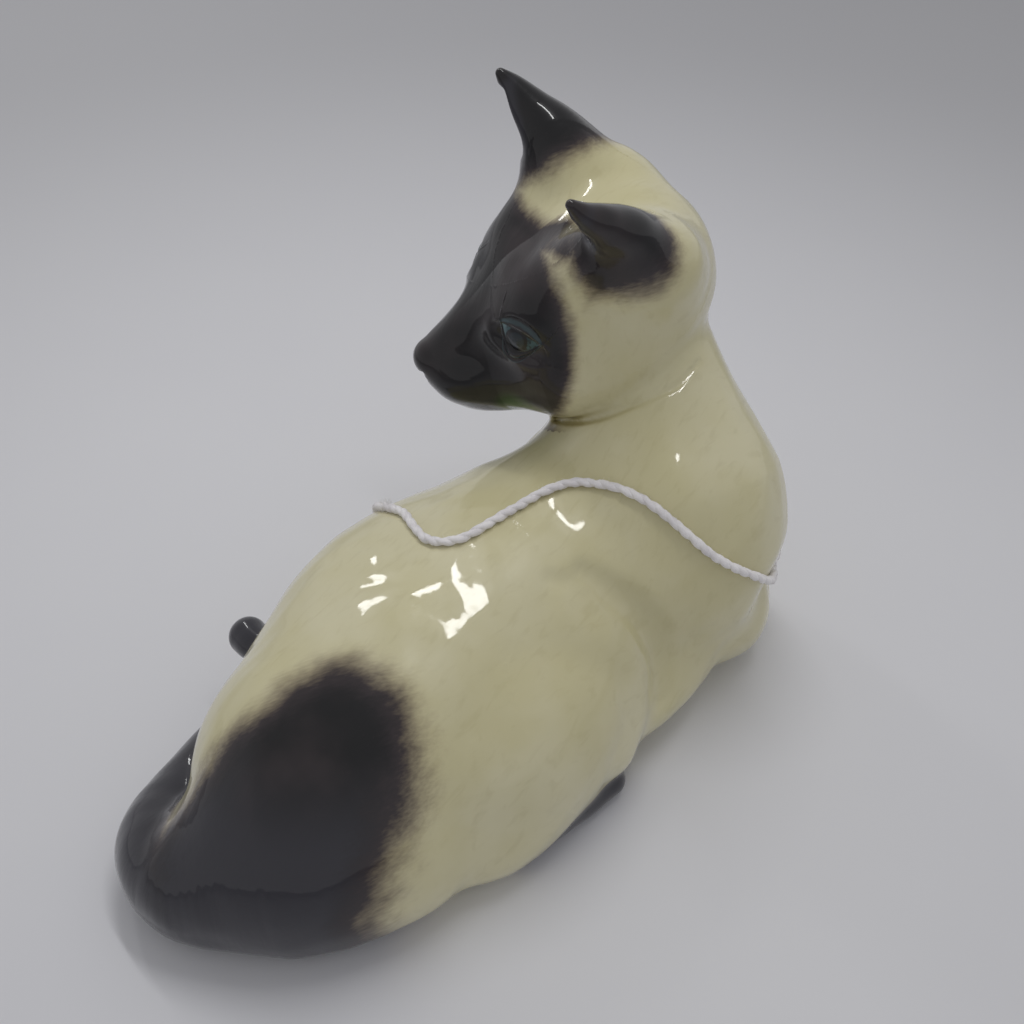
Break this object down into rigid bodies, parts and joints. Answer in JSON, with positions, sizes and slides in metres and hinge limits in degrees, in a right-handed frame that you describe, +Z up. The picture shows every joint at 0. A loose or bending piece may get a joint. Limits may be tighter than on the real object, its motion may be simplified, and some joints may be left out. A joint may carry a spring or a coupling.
{
  "type": "ceramic cat figurine",
  "caption": "Glazed earthenware cat lying down with its head turned back over its shoulder, cream with dark points, and a cotton tag string tied round its chest.",
  "frame": {"origin": "on the surface it stands on, under the middle of the figurine's outline", "axes": "+Z up, +Y from the tail towards the chest, +X towards the cat's right"},
  "size_m": [0.1078, 0.1912, 0.1412],
  "materials": {
    "cream_glaze": "clear gloss glaze over cream earthenware, shading by airbrush to near-black seal points",
    "seal_glaze": "clear gloss glaze over near-black airbrushed seal brown",
    "cotton": "soft two-ply twisted cotton string, slightly fuzzy"
  },
  "bodies": {
    "root": {"torso_casting": "cream_glaze", "head_casting": "cream_glaze", "left_ear": "seal_glaze", "right_ear": "seal_glaze", "tail": "seal_glaze", "left_foreleg": "cream_glaze", "right_foreleg": "cream_glaze", "left_hind_paw": "seal_glaze", "right_hind_paw": "seal_glaze", "tag_string": "cotton", "string_knot": "cotton"}
  },
  "joints": []
}
